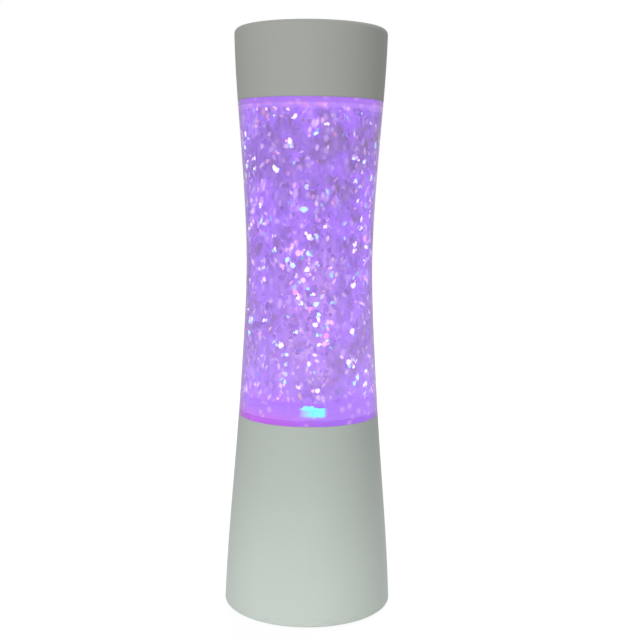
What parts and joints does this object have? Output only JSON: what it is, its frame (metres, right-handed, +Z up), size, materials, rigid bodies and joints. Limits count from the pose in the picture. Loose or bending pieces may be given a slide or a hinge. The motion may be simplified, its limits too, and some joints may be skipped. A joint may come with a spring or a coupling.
{
  "type": "glitter lamp",
  "caption": "Waisted tower lamp: clear bottle of glitter liquid between a pale base and cap, stirred by a magnet-driven wheel and lit from below, with a battery door under the base.",
  "frame": {"origin": "middle of the circle that the feet stand on, on the tabletop", "axes": "+Z up along the lamp's axis, front towards -Y, battery door's screw towards +X"},
  "size_m": [0.0928, 0.0928, 0.317],
  "materials": {
    "shell_plastic": "pale grey satin moulding",
    "plate_plastic": "pale grey moulding, fine grain",
    "clear_plastic": "clear polished moulding",
    "glitter_fluid": "violet liquid full of glitter",
    "inner_plastic": "white inner moulding",
    "wheel_plastic": "milky moulding",
    "stopper_plastic": "white ribbed stopper",
    "black_plastic": "black moulding",
    "soft_seal": "white soft seal",
    "foot_rubber": "dark rubber",
    "magnet_metal": "nickel plated magnet",
    "screw_steel": "zinc plated",
    "contact_steel": "nickel plated sheet",
    "motor_steel": "plated drawn can",
    "terminal_brass": "tinned brass",
    "board_laminate": "white solder mask",
    "chip_plastic": "black epoxy",
    "emitter_lens": "diffused lens",
    "cell_jacket": "plain dark jacket",
    "wire_red": "red insulation",
    "wire_black": "black insulation",
    "wire_white": "white insulation"
  },
  "bodies": {
    "lamp": {"top_cap": "shell_plastic", "base_shell": "shell_plastic", "bottle": "clear_plastic", "bottle_stopper": "stopper_plastic", "stopper_washer": "soft_seal", "glitter_liquid": "glitter_fluid", "glitter_core": "glitter_fluid", "settled_glitter": "glitter_fluid", "impeller_pin": "screw_steel", "pin_retainer": "inner_plastic", "bottle_seat_ring": "soft_seal", "light_deck": "inner_plastic", "deck_screws": "screw_steel", "emitter_board": "board_laminate", "light_emitters": "emitter_lens", "board_chips": "chip_plastic", "board_screws": "screw_steel", "motor_can": "motor_steel", "motor_end_cap": "wire_white", "motor_terminals": "terminal_brass", "motor_cradle": "inner_plastic", "cradle_screws": "screw_steel", "battery_cells": "cell_jacket", "positive_contact": "contact_steel", "negative_contact": "contact_steel", "bridge_contacts": "contact_steel", "base_plate": "plate_plastic", "plate_screws": "screw_steel", "door_nut": "terminal_brass", "rubber_feet": "foot_rubber", "switch_housing": "black_plastic", "motor_leads": "wire_white", "battery_lead": "wire_red", "supply_lead": "wire_red", "return_lead": "wire_black"},
    "drive": {"motor_shaft": "screw_steel", "drive_disc": "inner_plastic", "drive_magnets": "magnet_metal"},
    "stirrer": {"impeller": "wheel_plastic", "impeller_magnets": "magnet_metal"},
    "switch": {"switch_slider": "black_plastic"},
    "door": {"battery_door": "plate_plastic"},
    "screw": {"door_screw": "screw_steel"}
  },
  "joints": [
    {"name": "motor_spin", "type": "hinge", "parent": "lamp", "child": "drive", "pos_m": [0, 0, 0.09], "axis": [0, 0, 1], "continuous": true},
    {"name": "stirrer_spin", "type": "hinge", "parent": "lamp", "child": "stirrer", "pos_m": [0, 0, 0.105], "axis": [0, 0, 1], "continuous": true},
    {"name": "switch_slide", "type": "slide", "parent": "lamp", "child": "switch", "axis": [-1, 0, 0], "range_m": [0, 0.004]},
    {"name": "door_hinge", "type": "hinge", "parent": "lamp", "child": "door", "pos_m": [-0.02995, 0, 0.0034], "axis": [0, 1, 0], "range_deg": [0, 60]},
    {"name": "screw_turn", "type": "hinge", "parent": "door", "child": "screw", "pos_m": [0.03515, 0, 0.005], "axis": [0, 0, 1], "continuous": true}
  ],
  "couplings": [
    {"joint": "stirrer_spin", "follows": "motor_spin", "ratio": 1}
  ]
}
